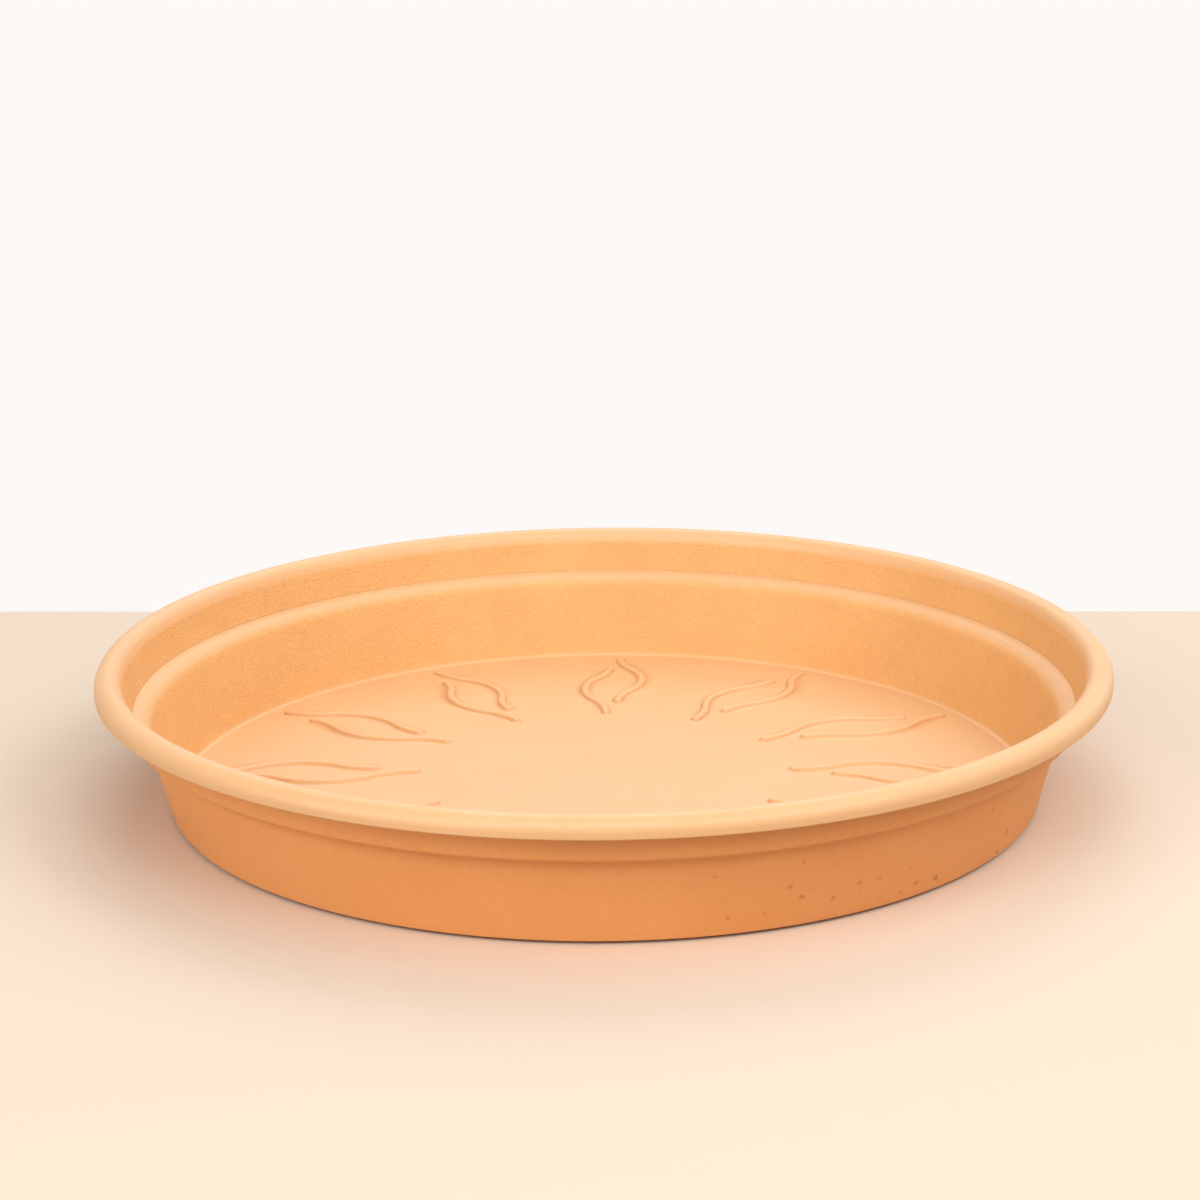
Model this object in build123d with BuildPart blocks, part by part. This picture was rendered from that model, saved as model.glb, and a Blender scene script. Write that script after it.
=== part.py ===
import os
from math import asin, atan, cos, degrees, sin

from build123d import *

# A round saucer for a plant pot, injection moulded in one piece of terracotta coloured plastic.
# One skin, of one thickness all over, is turned about +Z: a floor domed a little over a flat ring, a
# lower wall, a rounded shoulder with a ledge behind it, an upper wall, and a lip that turns out and
# down and is open underneath. Twelve leaves stand up from the floor, two curved ribs each.
# The origin is on the axis at the table, and one leaf points along +Y. Lengths are in millimetres.

# Skin and overall size
rim_diameter = 250.0
overall_height = 35.0
wall = 1.5

# Lip
lip_width = 5.9
lip_drop = 4.4
lip_inner_radius = 2.9
lip_outer_radius = 3.4

# Upper wall, which flares from the ledge to the lip
upper_wall_height = 11.0
upper_wall_flare = 2.9

# Ledge and shoulder: the ledge falls a little towards the middle and rounds over into the lower wall
ledge_width = 3.9
ledge_fall = 0.55
shoulder_radius = 5.3

# Lower wall
lower_wall_flare = 6.0

# Floor: a narrow flat ring that the saucer stands on, and a shallow dome that eases into it
foot_width = 3.0
dome_rise = 2.0
dome_ease_run = 6.0

# Leaf ribs
leaf_count = 12
leaf_edge_gap = 4.7
rib_width = 2.2
rib_height = 0.8
rib_top_chamfer = 0.5
rib_end_chamfer = 0.65
rib_reach = 27.6
rib_offset = 2.25
inner_bend_radius = 21.9
inner_bend_angle = 31.5
belly_radius = 22.3
belly_angle = 63.0
outer_bend_radius = 18.9
outer_bend_angle = 31.5

# Radii and heights of the skin's visible side, worked out from the rim inwards
rim_radius = rim_diameter / 2
mouth_radius = rim_radius - lip_width
ledge_radius = mouth_radius - upper_wall_flare
shoulder_corner_radius = ledge_radius - ledge_width
floor_radius = shoulder_corner_radius - lower_wall_flare
foot_inner_radius = floor_radius - foot_width
ledge_height = overall_height - upper_wall_height
shoulder_height = ledge_height - ledge_fall
dome_height = wall + dome_rise

# The dome is an arc that falls from the axis, and an arc that bends back level at the flat ring
dome_angle = 2 * atan(dome_rise / foot_inner_radius)
dome_radius = (foot_inner_radius - dome_ease_run) / sin(dome_angle)
dome_ease_radius = dome_ease_run / sin(dome_angle)

# Each leaf lies in the plane that touches the dome at the leaf's middle
leaf_radius = floor_radius - leaf_edge_gap - rib_reach
leaf_slope = asin(leaf_radius / dome_radius)
leaf_height = dome_height - dome_radius * (1 - cos(leaf_slope))
leaf_plane = Plane(
    origin=(0, leaf_radius, leaf_height),
    x_dir=(0, cos(leaf_slope), -sin(leaf_slope)),
    z_dir=(0, sin(leaf_slope), cos(leaf_slope)),
)
leaf_axis = Axis(leaf_plane.origin, leaf_plane.z_dir)

# One rib, drawn along the side that faces away from the leaf's middle: it bends out, round the belly
# and back towards the leaf's middle line
with BuildSketch() as rib:
    with BuildLine():
        inner_bend = JernArc(
            start=(-rib_reach, rib_offset),
            tangent=(1, 0),
            radius=inner_bend_radius,
            arc_size=inner_bend_angle,
        )
        belly = JernArc(
            start=inner_bend @ 1,
            tangent=inner_bend % 1,
            radius=belly_radius,
            arc_size=-belly_angle,
        )
        JernArc(
            start=belly @ 1,
            tangent=belly % 1,
            radius=outer_bend_radius,
            arc_size=outer_bend_angle,
        )
        offset(amount=rib_width, side=Side.RIGHT)
    make_face()
    chamfer(rib.edges().filter_by(GeomType.LINE).vertices(), length=rib_end_chamfer)

# One leaf: the rib, and the same rib turned half a turn, both standing from inside the floor's skin
rib_root = wall / 2
with BuildPart() as leaf:
    with BuildSketch(leaf_plane.offset(-rib_root)):
        with PolarLocations(0, 2):
            add(rib.sketch)
    extrude(amount=rib_root + rib_height)
    chamfer(leaf.faces().sort_by(leaf_axis)[-2:].edges(), length=rib_top_chamfer)

# The saucer: the skin is drawn along its visible side, thickened to its hidden side and turned
with BuildPart() as saucer:
    with BuildSketch(Plane.XZ):
        with BuildLine():
            dome = JernArc(
                start=(0, dome_height),
                tangent=(1, 0),
                radius=dome_radius,
                arc_size=-degrees(dome_angle),
            )
            dome_ease = JernArc(
                start=dome @ 1,
                tangent=dome % 1,
                radius=dome_ease_radius,
                arc_size=degrees(dome_angle),
            )
            FilletPolyline(
                dome_ease @ 1,
                (floor_radius, wall),
                (shoulder_corner_radius, shoulder_height),
                (ledge_radius, ledge_height),
                (mouth_radius, overall_height),
                (rim_radius, overall_height),
                (rim_radius, overall_height - lip_drop),
                radius=(0, shoulder_radius, 0, lip_inner_radius, lip_outer_radius),
            )
            offset(amount=wall, side=Side.RIGHT)
        make_face()
    revolve(axis=Axis.Z)
    with PolarLocations(0, leaf_count):
        add(leaf.part)

saucer.part.label = "saucer"

print("floor radius", round(floor_radius, 2), "leaf radius", round(leaf_radius, 2))
print("leaf slope", round(degrees(leaf_slope), 2), "degrees")

os.makedirs("parts", exist_ok=True)
export_step(saucer.part, "parts/saucer.step")
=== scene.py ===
from math import asin, atan, cos, pi, radians, sin, tan

import bpy
import numpy as np
from mathutils import Matrix, Vector


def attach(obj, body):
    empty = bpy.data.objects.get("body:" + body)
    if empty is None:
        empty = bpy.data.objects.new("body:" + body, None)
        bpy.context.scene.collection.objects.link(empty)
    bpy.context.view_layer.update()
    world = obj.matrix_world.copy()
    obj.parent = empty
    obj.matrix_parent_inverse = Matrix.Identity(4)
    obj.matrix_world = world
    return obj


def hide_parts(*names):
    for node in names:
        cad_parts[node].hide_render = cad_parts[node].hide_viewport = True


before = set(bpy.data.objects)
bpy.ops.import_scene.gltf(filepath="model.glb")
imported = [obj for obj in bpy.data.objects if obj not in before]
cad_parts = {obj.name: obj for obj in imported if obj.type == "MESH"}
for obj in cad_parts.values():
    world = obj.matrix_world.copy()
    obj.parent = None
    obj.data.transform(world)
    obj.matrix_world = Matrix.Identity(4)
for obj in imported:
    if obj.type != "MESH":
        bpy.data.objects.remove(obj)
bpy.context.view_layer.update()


# The camera stands three quarters of a metre from the saucer's axis and a quarter of a metre above
# the table. It looks down at sixteen degrees, through a 90 mm lens on a sensor 36 mm wide.
camera_place = Vector((0.02614, -0.71275, 0.24690))
camera_forward = Vector((-0.03625, 0.96243, -0.26920))
camera_right = Vector((0.99927, 0.03481, -0.01011))
lens_mm = 90
sensor_width_mm = 36

camera_back = -camera_forward.normalized()
camera_side = (camera_right - camera_back * camera_right.dot(camera_back)).normalized()
camera_turn = Matrix((camera_side, camera_back.cross(camera_side), camera_back)).transposed()
camera_data = bpy.data.cameras.new("view")
camera_data.lens = lens_mm
camera_data.sensor_width = sensor_width_mm
camera = bpy.data.objects.new("view", camera_data)
camera.matrix_world = Matrix.Translation(camera_place) @ camera_turn.to_4x4()
bpy.context.scene.collection.objects.link(camera)
bpy.context.scene.camera = camera


# The saucer is one injection moulding of polypropylene: a single skin whose section is turned about
# the axis, with leaf ribs that were cut into the core side of the mould. It is one unbroken piece,
# so it is one mesh. All its sizes are in millimetres.
MM = 0.001
rim_radius = 125.0
height = 35.0
skin = 1.5
lip_width = 5.9
lip_drop = 4.7
lip_inner_radius = 2.9
lip_outer_radius = 3.4
lip_edge_radius = 0.4
upper_wall_height = 11.0
upper_wall_flare = 2.9
ledge_width = 3.9
ledge_fall = 0.55
ledge_corner_radius = 0.3
shoulder_radius = 5.3
lower_wall_flare = 6.0
floor_corner_radius = 1.6
foot_width = 3.0
foot_ring_width = 0.8
foot_gap = 0.9
foot_edge_radius = 0.2
dome_rise = 2.0
dome_ease_run = 6.0

mouth_radius = rim_radius - lip_width
ledge_radius = mouth_radius - upper_wall_flare
shoulder_corner = ledge_radius - ledge_width
floor_radius = shoulder_corner - lower_wall_flare
foot_inner_radius = floor_radius - foot_width
ledge_height = height - upper_wall_height
dome_angle = 2 * atan(dome_rise / foot_inner_radius)
dome_radius = (foot_inner_radius - dome_ease_run) / sin(dome_angle)
dome_ease_radius = dome_ease_run / sin(dome_angle)


def floor_height(radius):
    """The floor's height: an arc that falls from the axis, one that bends back level, a flat ring."""
    run = foot_inner_radius - radius
    ease_run = np.clip(run, 0, dome_ease_run)
    dome = skin + dome_rise - dome_radius + np.sqrt(dome_radius**2 - np.square(radius))
    ease = skin + dome_ease_radius - np.sqrt(dome_ease_radius**2 - np.square(ease_run))
    return np.where(run > dome_ease_run, dome, ease)


# The section is a line with rounded corners, first along the visible side and then along the hidden
# side, which follows it at one skin's thickness. Its points are about these steps apart
arc_step = radians(7)
straight_step = 1.6


def hidden_side(corners):
    """The corners of the same line on the skin's other side, which is to its right."""
    ways = np.diff(corners, axis=0)
    ways /= np.linalg.norm(ways, axis=1)[:, None]
    sides = np.stack([ways[:, 1], -ways[:, 0]], axis=1) * skin
    moved = [corners[0] + sides[0]]
    for before, after, corner in zip(sides, sides[1:], corners[1:]):
        moved.append(corner + (before + after) * skin**2 / (skin**2 + before @ after))
    moved.append(corners[-1] + sides[-1])
    return np.array(moved)


def rounded_line(corners, radii):
    """Points along a line through corners, with an arc of the given radius at each corner."""
    points = [np.array(corners[0])]

    def go_to(end):
        start = points[-1]
        steps = max(1, round(np.linalg.norm(end - start) / straight_step))
        points.extend(start + (end - start) * k / steps for k in range(1, steps + 1))

    for before, corner, after, radius in zip(corners, corners[1:], corners[2:], radii):
        into = (corner - before) / np.linalg.norm(corner - before)
        out = (after - corner) / np.linalg.norm(after - corner)
        turn_angle = np.arctan2(into[0] * out[1] - into[1] * out[0], into @ out)
        cut = radius * tan(abs(turn_angle) / 2)
        go_to(corner - into * cut)
        normal = np.array([-into[1], into[0]]) * np.sign(turn_angle)
        centre = points[-1] + normal * radius
        spoke_x, spoke_y = points[-1] - centre
        steps = max(2, round(abs(turn_angle) / arc_step))
        for k in range(1, steps + 1):
            a = turn_angle * k / steps
            turned = (spoke_x * cos(a) - spoke_y * sin(a), spoke_x * sin(a) + spoke_y * cos(a))
            points.append(centre + turned)
    go_to(np.array(corners[-1]))
    return np.array(points)


visible_corners = np.array([
    (foot_inner_radius, skin),
    (floor_radius, skin),
    (shoulder_corner, ledge_height - ledge_fall),
    (ledge_radius, ledge_height),
    (mouth_radius, height),
    (rim_radius, height),
    (rim_radius, height - lip_drop),
])
visible_radii = [
    floor_corner_radius, shoulder_radius, ledge_corner_radius, lip_inner_radius, lip_outer_radius,
]
hidden_corners = hidden_side(visible_corners)
hidden_radii = [shoulder_radius - skin, skin, lip_inner_radius - skin, lip_outer_radius - skin]

# The wall's lower edge hangs just clear of the table, round the narrow ring that the saucer stands on
wall_foot, wall_top = hidden_corners[1], hidden_corners[2]
wall_edge = wall_foot + (wall_top - wall_foot) * foot_gap / (wall_top[1] - wall_foot[1])
foot_outer_radius = foot_inner_radius + foot_ring_width
foot_corners = [
    (foot_inner_radius, 0), (foot_outer_radius, 0), (foot_outer_radius, foot_gap), wall_edge,
]
hidden_corners = np.concatenate([foot_corners, hidden_corners[2:]])
hidden_radii = [foot_edge_radius] * 3 + hidden_radii

wall_line = rounded_line(
    np.concatenate([visible_corners, hidden_corners[::-1]]),
    visible_radii + [lip_edge_radius, lip_edge_radius] + hidden_radii[::-1],
)

# The leaf ribs: the middle line of a rib is three arcs, each with its radius and the degrees that it
# turns through, and the other rib of the leaf is the same line turned half a turn. A rib is rounded
# on top, and spreads a little at its foot
leaf_count = 12
leaf_radius = 74.0
rib_width = 2.2
rib_height = 0.95
rib_foot_share = 0.56
rib_side_power = 2.4
rib_top_power = 0.55
rib_start = (-27.6, 1.15)
rib_arcs = ((23.0, 31.5), (21.2, -63.0), (20.0, 31.5))
rib_step = 0.25
rib_half_width = rib_foot_share * rib_width


def rib_line():
    """Points along a rib's middle line: how far out from the leaf's middle, and how far aside."""
    place, heading = np.array(rib_start), 0.0
    points = [place]
    for radius, degrees_turned in rib_arcs:
        angle = radians(degrees_turned)
        steps = round(radius * abs(angle) / rib_step)
        for _ in range(steps):
            heading += angle / steps / 2
            way = np.array([cos(heading), sin(heading)])
            place = place + way * radius * abs(angle) / steps
            heading += angle / steps / 2
            points.append(place)
    return np.array(points)


end_inset = round(rib_width / 2 / rib_step)
rib_core = rib_line()[end_inset:-end_inset]
partner_core = -rib_core


def rib_distance(out, aside):
    """How far points of the floor are from the nearest rib's middle line."""
    nearest = np.full(out.shape, np.inf)
    for core in (rib_core, partner_core):
        start, way = core[:-1], np.diff(core, axis=0)
        off_out, off_aside = out[..., None] - start[:, 0], aside[..., None] - start[:, 1]
        share = (off_out * way[:, 0] + off_aside * way[:, 1]) / (way**2).sum(axis=1)
        share = np.clip(share, 0, 1)
        off = np.hypot(off_out - share * way[:, 0], off_aside - share * way[:, 1])
        nearest = np.minimum(nearest, off.min(axis=-1))
    return nearest


def rib_relief(nearest):
    """How far a rib stands up, by the distance from its middle line."""
    share = np.clip(nearest / rib_half_width, 0, 1)
    return rib_height * (1 - share**rib_side_power) ** rib_top_power


# Over each leaf the mesh has columns of points that follow its ribs, so that they have clean edges:
# a gap, a band over one rib, the leaf between them, a band over the other rib, and a gap. They follow
# the ribs fully from 44 to 103 mm out from the axis, and lie evenly inside 28 and outside 106 mm
band_half_width = 1.4
band_room = 1.05
band_columns = 12
gap_columns = 5
leaf_columns = 6
follow_from = (28, 44)
follow_until = (103, 106)
slope_reach = 0.5
column_edges = np.cumsum([0, gap_columns, band_columns, leaf_columns, band_columns, gap_columns])
columns_per_leaf = column_edges[-1]
points_per_ring = leaf_count * columns_per_leaf
sector = 2 * pi / leaf_count


def eased(x, low, high):
    """0 below one limit, 1 above the other, and a smooth rise between them."""
    t = np.clip((x - low) / (high - low), 0, 1)
    return t * t * (3 - 2 * t)


def column_angles(radius):
    """The angles of one leaf's columns at a radius, from the leaf's middle line."""
    even = (column_edges / columns_per_leaf - 0.5) * sector
    anchors = [-sector / 2]
    for core, side in ((partner_core, -1), (rib_core, 1)):
        order = np.argsort(core[:, 0])
        along, aside = core[order, 0], core[order, 1] * side
        out = radius - leaf_radius
        for _ in range(3):
            angle = asin(min(np.interp(out, along, aside) / radius, 1))
            out = radius * cos(angle) - leaf_radius
        ahead, behind = np.interp((out + slope_reach, out - slope_reach), along, aside)
        slope = (ahead - behind) / (2 * slope_reach)
        half = band_half_width * np.sqrt(1 + slope**2) / radius
        middle = max(angle, half * band_room)
        anchors += sorted([side * (middle - half), side * (middle + half)])
    anchors.append(sector / 2)
    follow = eased(radius, *follow_from) * (1 - eased(radius, *follow_until))
    anchors = even + (np.array(anchors) - even) * follow
    return np.interp(np.arange(columns_per_leaf), column_edges, anchors)


# One leaf points along +Y. The rings of points are close together where ribs end, and wide apart near
# the axis, where the floor is plain
leaf_turns = np.arange(leaf_count) * sector + pi / 2
rings = [8.0, 16.0, 22.0, 27.0, 31.0, 34.5, 37.5, 40.0, 42.0, 43.5, 44.5, 45.2]
ring_step = 0.75
fine_ring_step = 0.3
fine_ring_reach = 1.6
rib_ends = leaf_radius + np.concatenate([rib_core[[0, -1], 0], partner_core[[0, -1], 0]])
while rings[-1] < foot_inner_radius:
    near = np.abs(rib_ends - rings[-1]).min()
    rings.append(rings[-1] + (fine_ring_step if near < fine_ring_reach else ring_step))
rings = np.array(rings)


def ring_points(radius, angles, level):
    """One closed ring of points, the leaf's own columns repeated round the axis."""
    around = (leaf_turns[:, None] + angles[None, :]).ravel()
    level = np.tile(level, leaf_count) if np.ndim(level) else np.full(around.shape, level)
    return np.stack([radius * np.cos(around), radius * np.sin(around), level], axis=1)


# The walls came off textured steel and have a fine grain: all over the outside, and inside only where
# they stand steep. The floor, ledge and lip came off smooth steel. The outside begins where the line
# first reaches the rim's full radius
grain_top_gap = 3.0
grain_mouth_room = 2.5
plain_steepness, grained_steepness = 0.6, 0.92
way = np.gradient(wall_line, axis=0)
steepness = np.abs(way[:, 1]) / np.hypot(way[:, 0], way[:, 1])
below_crest = wall_line[:, 1] < height - grain_top_gap
within_mouth = wall_line[:, 0] < mouth_radius + grain_mouth_room
on_outside = np.arange(len(wall_line)) > np.argmax(np.isclose(wall_line[:, 0], rim_radius))
inside_grain = eased(steepness, plain_steepness, grained_steepness)
wall_grain = np.where(on_outside, 1, inside_grain) * below_crest * within_mouth

# Each ring says how much grain it has, which side it is on, and where painted shade darkens the floor
# along the ribs' feet. The rings run out over the floor, up the walls, over the lip, down the outside
# and back underneath, where the hidden side needs only every fourth one
foot_shade_inset = 0.08
foot_shade_reach = 0.25
wall_start_room = 0.5
hidden_ring_step = 4
no_foot_shade = np.zeros(points_per_ring)
ring_rows = []
for radius in rings:
    angles = column_angles(radius)
    nearest = rib_distance(radius * np.cos(angles) - leaf_radius, radius * np.sin(angles))
    # Painted shade along the feet of the ribs: darkest just inside each rib's edge
    foot_shade = np.exp(-((nearest - rib_half_width + foot_shade_inset) / foot_shade_reach) ** 2)
    floor_ring = ring_points(radius, angles, floor_height(radius) + rib_relief(nearest))
    ring_rows.append((floor_ring, 0.0, 0.0, np.tile(foot_shade, leaf_count)))
even_angles = column_angles(follow_until[1])
for (radius, level), grain, outside in zip(wall_line, wall_grain, on_outside):
    if radius > rings[-1] + wall_start_room or outside:
        wall_ring = ring_points(radius, even_angles, level)
        ring_rows.append((wall_ring, grain, float(outside), no_foot_shade))
for radius in rings[::-1][::hidden_ring_step]:
    if radius < foot_inner_radius:
        under_ring = ring_points(radius, even_angles, floor_height(radius) - skin)
        ring_rows.append((under_ring, 0.0, 1.0, no_foot_shade))
ring_places, ring_grain, ring_side, ring_foot_shade = zip(*ring_rows)

points = np.concatenate([[(0, 0, skin + dome_rise)], *ring_places, [(0, 0, dome_rise)]]) * MM
columns = [(column, (column + 1) % points_per_ring) for column in range(points_per_ring)]
faces = [(0, 1 + column, 1 + after) for column, after in columns]
for ring in range(len(ring_places) - 1):
    low, high = 1 + ring * points_per_ring, 1 + (ring + 1) * points_per_ring
    for column, after in columns:
        faces.append((low + column, high + column, high + after, low + after))
last = 1 + (len(ring_places) - 1) * points_per_ring
faces += [(last + after, last + column, len(points) - 1) for column, after in columns]

saucer_mesh = bpy.data.meshes.new("saucer_skin")
saucer_mesh.from_pydata(points.tolist(), [], faces)
saucer_mesh.shade_smooth()
for name, values in (
    ("grain", np.repeat(ring_grain, points_per_ring)),
    ("outside", np.repeat(ring_side, points_per_ring)),
    ("painted_foot_shade", np.concatenate(ring_foot_shade)),
):
    layer = saucer_mesh.attributes.new(name, "FLOAT", "POINT")
    layer.data.foreach_set("value", np.concatenate([[0], values, [0]]).astype(np.float32))
saucer = bpy.data.objects.new("saucer_skin", saucer_mesh)
bpy.context.scene.collection.objects.link(saucer)


def linear(hex_colour):
    """An sRGB hex colour as linear red, green, blue and alpha, by the standard's own curve."""
    parts = [int(hex_colour[k:k + 2], 16) / 255 for k in (1, 3, 5)]
    return [c / 12.92 if c <= 0.04045 else ((c + 0.055) / 1.055) ** 2.4 for c in parts] + [1.0]


def add_node(tree, kind, inputs, output=0, **settings):
    """Add a node with its settings, and a value or another node's output at each input named."""
    node = tree.nodes.new(kind)
    for name, value in settings.items():
        setattr(node, name, value)
    for name, value in inputs.items():
        if isinstance(value, bpy.types.NodeSocket):
            tree.links.new(value, node.inputs[name])
        else:
            node.inputs[name].default_value = value
    return node.outputs[output]


# Polypropylene coloured in the mass, moulded: a terracotta orange that clouds a little where the
# pigment is uneven, satin where the steel was smooth and matt where it was textured
plastic = bpy.data.materials.new("moulded_polypropylene")
plastic.use_nodes = True
tree = plastic.node_tree
shader = tree.nodes["Principled BSDF"]
shader.inputs["IOR"].default_value = 1.5
shader.inputs["Specular IOR Level"].default_value = 0.62
position = add_node(tree, "ShaderNodeTexCoord", {}, "Object")
grained = add_node(tree, "ShaderNodeAttribute", {}, "Fac", attribute_name="grain")
outer_side = add_node(tree, "ShaderNodeAttribute", {}, "Fac", attribute_name="outside")
foot_shaded = add_node(tree, "ShaderNodeAttribute", {}, "Fac", attribute_name="painted_foot_shade")

# The patterns: how wide each one's blotches are in millimetres, then how many finer layers it has and
# how strong they are. The real grain is a few tenths of a millimetre wide, and is drawn coarser so
# that it shows
pattern_sizes = {
    "clouds": (28, 2.5, 0.5),
    "handling": (9, 4, 0.6),
    "ripple": (3.5, 2, 0.5),
    "mottle": (2.2, 3, 0.6),
    "ragged": (1.5, 2, 0.5),
    "grain": (0.65, 3, 0.6),
}
patterns = {}
for name, (width, layers, strength) in pattern_sizes.items():
    patterns[name] = add_node(tree, "ShaderNodeTexNoise", {
        "Vector": position, "Scale": 1 / (width * MM), "Detail": layers, "Roughness": strength,
    }, "Fac")

# The pigment's tone goes from deep to pale by these shares of the patterns, whose noise lies mostly
# between the two limits
tone_shares = {"grain": 0.45, "mottle": 0.2, "clouds": 0.35}
noise_low, noise_high = 0.3, 0.7
tone = 0.0
for name, share in tone_shares.items():
    spread = add_node(tree, "ShaderNodeMapRange", {
        "Value": patterns[name], "From Min": noise_low, "From Max": noise_high,
    })
    tone = add_node(
        tree, "ShaderNodeMath", {0: spread, 1: share, 2: tone}, operation="MULTIPLY_ADD",
    )

# The deep and the pale colour of the walls' inside, of their outside and of the smooth skin. They are
# one plastic with painted light and shade: the brightly lit inside is painted paler, the outside in
# shade deeper and redder, and the smooth skin paler and less orange, as a painted sheen. A Mix node
# has its colours at inputs 6 and 7, and gives the mixed one at output 2
colour_a, colour_b, colour_out = 6, 7, 2
lit_inside_walls, shaded_outside_walls, smooth_skin_sheen = [
    add_node(tree, "ShaderNodeMix", {
        0: tone, colour_a: linear(deep), colour_b: linear(pale),
    }, colour_out, data_type="RGBA")
    for deep, pale in (("#DD9E5D", "#EFB672"), ("#F3A05A", "#FCAE67"), ("#E1AC76", "#E8B581"))
]
walls = add_node(tree, "ShaderNodeMix", {
    0: outer_side, colour_a: lit_inside_walls, colour_b: shaded_outside_walls,
}, colour_out, data_type="RGBA")
skin_colour = add_node(tree, "ShaderNodeMix", {
    0: grained, colour_a: smooth_skin_sheen, colour_b: walls,
}, colour_out, data_type="RGBA")

# Painted shade: a thin darker line along the feet of the ribs, on both sides, where the floor meets
# their flanks
foot_shade_strength = 0.5
foot_shade_share = add_node(
    tree, "ShaderNodeMath", {0: foot_shaded, 1: foot_shade_strength}, operation="MULTIPLY",
)
plain_colour = add_node(tree, "ShaderNodeMix", {
    0: foot_shade_share, colour_a: skin_colour, colour_b: linear("#C0803E"),
}, colour_out, data_type="RGBA")

# A few brown specks of dirt, a millimetre or two across, cling to the grained walls on the right.
# They are larger outside and low down, and ragged
speck_spacing = 4.6
speck_radius = 0.95
speck_fade = 0.6
speck_strength = 0.45
speck_side = (0.80, -0.60, 0)
side_start_share, side_full_share = 0.45, 0.75
inside_share = 0.5
speck_low, speck_high = 8, 24
low_share, high_share = 1.15, 0.45
ragged_low, ragged_high = 0.35, 0.65
least_ragged_share, most_ragged_share = 0.5, 1.1
cell_distance = add_node(tree, "ShaderNodeTexVoronoi", {
    "Vector": position, "Scale": 1 / (speck_spacing * MM),
}, "Distance")
off_centre = add_node(
    tree, "ShaderNodeMath", {0: cell_distance, 1: speck_spacing}, operation="MULTIPLY",
)
toward_side = add_node(
    tree, "ShaderNodeVectorMath", {0: position, 1: speck_side}, "Value", operation="DOT_PRODUCT",
)
on_this_side = add_node(tree, "ShaderNodeMapRange", {
    "Value": toward_side,
    "From Min": side_start_share * rim_radius * MM, "From Max": side_full_share * rim_radius * MM,
})
by_face = add_node(tree, "ShaderNodeMapRange", {"Value": outer_side, "To Min": inside_share})
by_level = add_node(tree, "ShaderNodeMapRange", {
    "Value": add_node(tree, "ShaderNodeSeparateXYZ", {"Vector": position}, "Z"),
    "From Min": speck_low * MM, "From Max": speck_high * MM,
    "To Min": low_share, "To Max": high_share,
})
ragged = add_node(tree, "ShaderNodeMapRange", {
    "Value": patterns["ragged"], "From Min": ragged_low, "From Max": ragged_high,
    "To Min": least_ragged_share, "To Max": most_ragged_share,
})
speck_reach = grained
for factor in (by_face, on_this_side, by_level, ragged, speck_radius):
    speck_reach = add_node(
        tree, "ShaderNodeMath", {0: speck_reach, 1: factor}, operation="MULTIPLY",
    )
within_speck = add_node(
    tree, "ShaderNodeMath", {0: speck_reach, 1: off_centre}, operation="SUBTRACT",
)
specks = add_node(tree, "ShaderNodeMapRange", {
    "Value": within_speck, "From Max": speck_fade, "To Max": speck_strength,
})
dirty_colour = add_node(tree, "ShaderNodeMix", {
    0: specks, colour_a: plain_colour, colour_b: linear("#A8481C"),
}, colour_out, data_type="RGBA")
tree.links.new(dirty_colour, shader.inputs["Base Color"])

# Textured steel leaves the skin more matt than smooth steel does, handling changes it a little in
# places, and the specks are dull
smooth_roughness = 0.46
grained_roughness = 0.6
speck_roughness = 0.3
handling_low, handling_high = 0.35, 0.7
most_polished, most_dulled = -0.03, 0.05
handled = add_node(tree, "ShaderNodeMapRange", {
    "Value": patterns["handling"], "From Min": handling_low, "From Max": handling_high,
    "To Min": most_polished, "To Max": most_dulled,
})
roughness = add_node(tree, "ShaderNodeMapRange", {
    "Value": grained, "To Min": smooth_roughness, "To Max": grained_roughness,
})
roughness = add_node(tree, "ShaderNodeMath", {0: roughness, 1: handled}, operation="ADD")
roughness = add_node(
    tree, "ShaderNodeMath", {0: specks, 1: speck_roughness, 2: roughness},
    operation="MULTIPLY_ADD",
)
tree.links.new(roughness, shader.inputs["Roughness"])

# The grain is drawn deeper than the few hundredths of a millimetre of the real one, so that it shows,
# and it is shallower outside. The smooth steel leaves only a faint ripple. The bump is in metres
grain_depth = 0.38
outside_depth_share = 0.4
ripple_depth = 0.012
relief = add_node(tree, "ShaderNodeMapRange", {
    "Value": outer_side, "To Min": 1, "To Max": outside_depth_share,
})
for factor in (grained, patterns["grain"], grain_depth * MM):
    relief = add_node(tree, "ShaderNodeMath", {0: relief, 1: factor}, operation="MULTIPLY")
relief = add_node(
    tree, "ShaderNodeMath", {0: patterns["ripple"], 1: ripple_depth * MM, 2: relief},
    operation="MULTIPLY_ADD",
)
bump = add_node(tree, "ShaderNodeBump", {"Strength": 1.0, "Distance": 1.0, "Height": relief})
tree.links.new(bump, shader.inputs["Normal"])
saucer_mesh.materials.append(plastic)

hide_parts("saucer")
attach(saucer, "root")


# The table is a plain pale top of matt laminate that ends a little behind the saucer. It throws back
# less light than its pale colour would, so that the lip and the walls keep a soft shade below.
table_half_width = 1.5
table_front = -2.0
table_back = 0.157
table_thickness = 0.025

table_mesh = bpy.data.meshes.new("table_top")
table_corners = [
    (x, y, z)
    for z in (-table_thickness, 0)
    for x, y in ((-table_half_width, table_front), (table_half_width, table_front),
                 (table_half_width, table_back), (-table_half_width, table_back))
]
table_mesh.from_pydata(table_corners, [], [
    (4, 5, 6, 7), (3, 2, 1, 0), (0, 1, 5, 4), (1, 2, 6, 5), (2, 3, 7, 6), (3, 0, 4, 7),
])
table = bpy.data.objects.new("table_top", table_mesh)
bpy.context.scene.collection.objects.link(table)


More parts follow.
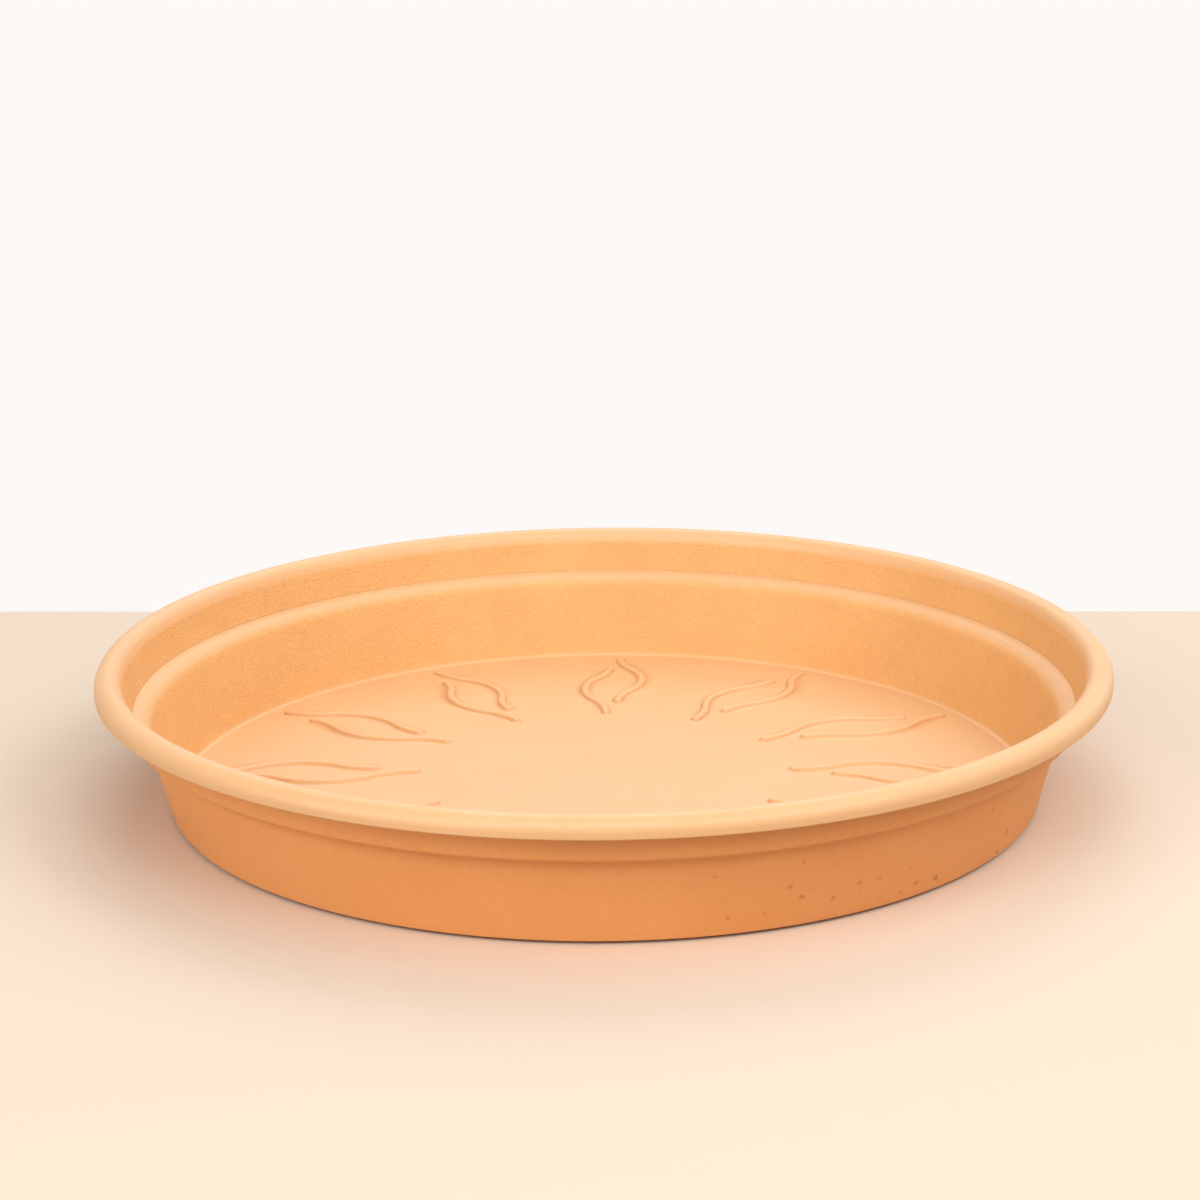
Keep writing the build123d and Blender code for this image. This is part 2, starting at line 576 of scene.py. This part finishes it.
def seen_rays(tree):
    """1 for what is seen straight, in a gloss or through glass, and 0 for the light thrown on."""
    seen = 0.0
    for ray in ("Is Camera Ray", "Is Glossy Ray", "Is Transmission Ray"):
        is_ray = add_node(tree, "ShaderNodeLightPath", {}, ray)
        seen = add_node(tree, "ShaderNodeMath", {0: is_ray, 1: seen}, operation="MAXIMUM")
    return seen


laminate = bpy.data.materials.new("pale_matt_laminate")
laminate.use_nodes = True
laminate_tree = laminate.node_tree
laminate_shader = laminate_tree.nodes["Principled BSDF"]
laminate_colour = add_node(laminate_tree, "ShaderNodeMix", {
    0: seen_rays(laminate_tree), colour_a: linear("#B2A190"), colour_b: linear("#E5D3BF"),
}, colour_out, data_type="RGBA")
laminate_tree.links.new(laminate_colour, laminate_shader.inputs["Base Color"])
laminate_shader.inputs["Roughness"].default_value = 0.8
laminate_shader.inputs["Specular IOR Level"].default_value = 0.1
table_mesh.materials.append(laminate)


# The light comes from square soft boxes 1.2 m wide all round, 1.8 m from the saucer, in a pale
# surround. Each has the degrees from the camera's side round to the right, its height in degrees
# above the table, and its share of the watts.
lamp_width = 1.2
lamp_distance = 1.8
lamp_watts = 13.5
lamps = {
    "front_left": (-45, 24, 1.2),
    "front": (0, 48, 0.88),
    "front_right": (45, 38, 0.96),
    "right": (90, 48, 0.55),
    "back_right": (135, 24, 0.34),
    "back": (180, 48, 0.75),
    "above": (0, 90, 0.15),
}
for name, (way_round, height_angle, share) in lamps.items():
    around, up = radians(way_round), radians(height_angle)
    lamp_data = bpy.data.lights.new(name, "AREA")
    lamp_data.energy = lamp_watts * share
    lamp_data.size = lamp_width
    lamp = bpy.data.objects.new(name, lamp_data)
    direction = Vector((sin(around) * cos(up), -cos(around) * cos(up), sin(up)))
    lamp.location = direction * lamp_distance
    lamp.rotation_euler = (-lamp.location).to_track_quat("-Z", "Y").to_euler()
    bpy.context.scene.collection.objects.link(lamp)

# The surround is seen at full strength, and lights the saucer with a small part of it
surround_light = 0.13
world = bpy.data.worlds.new("surround")
bpy.context.scene.world = world
world.use_nodes = True
surround_tree = world.node_tree
surround = surround_tree.nodes["Background"]
surround.inputs["Color"].default_value = linear("#FDF9F6")
surround_strength = add_node(surround_tree, "ShaderNodeMapRange", {
    "Value": seen_rays(surround_tree), "To Min": surround_light,
})
surround_tree.links.new(surround_strength, surround.inputs["Strength"])

bpy.context.scene.view_settings.view_transform = "Standard"
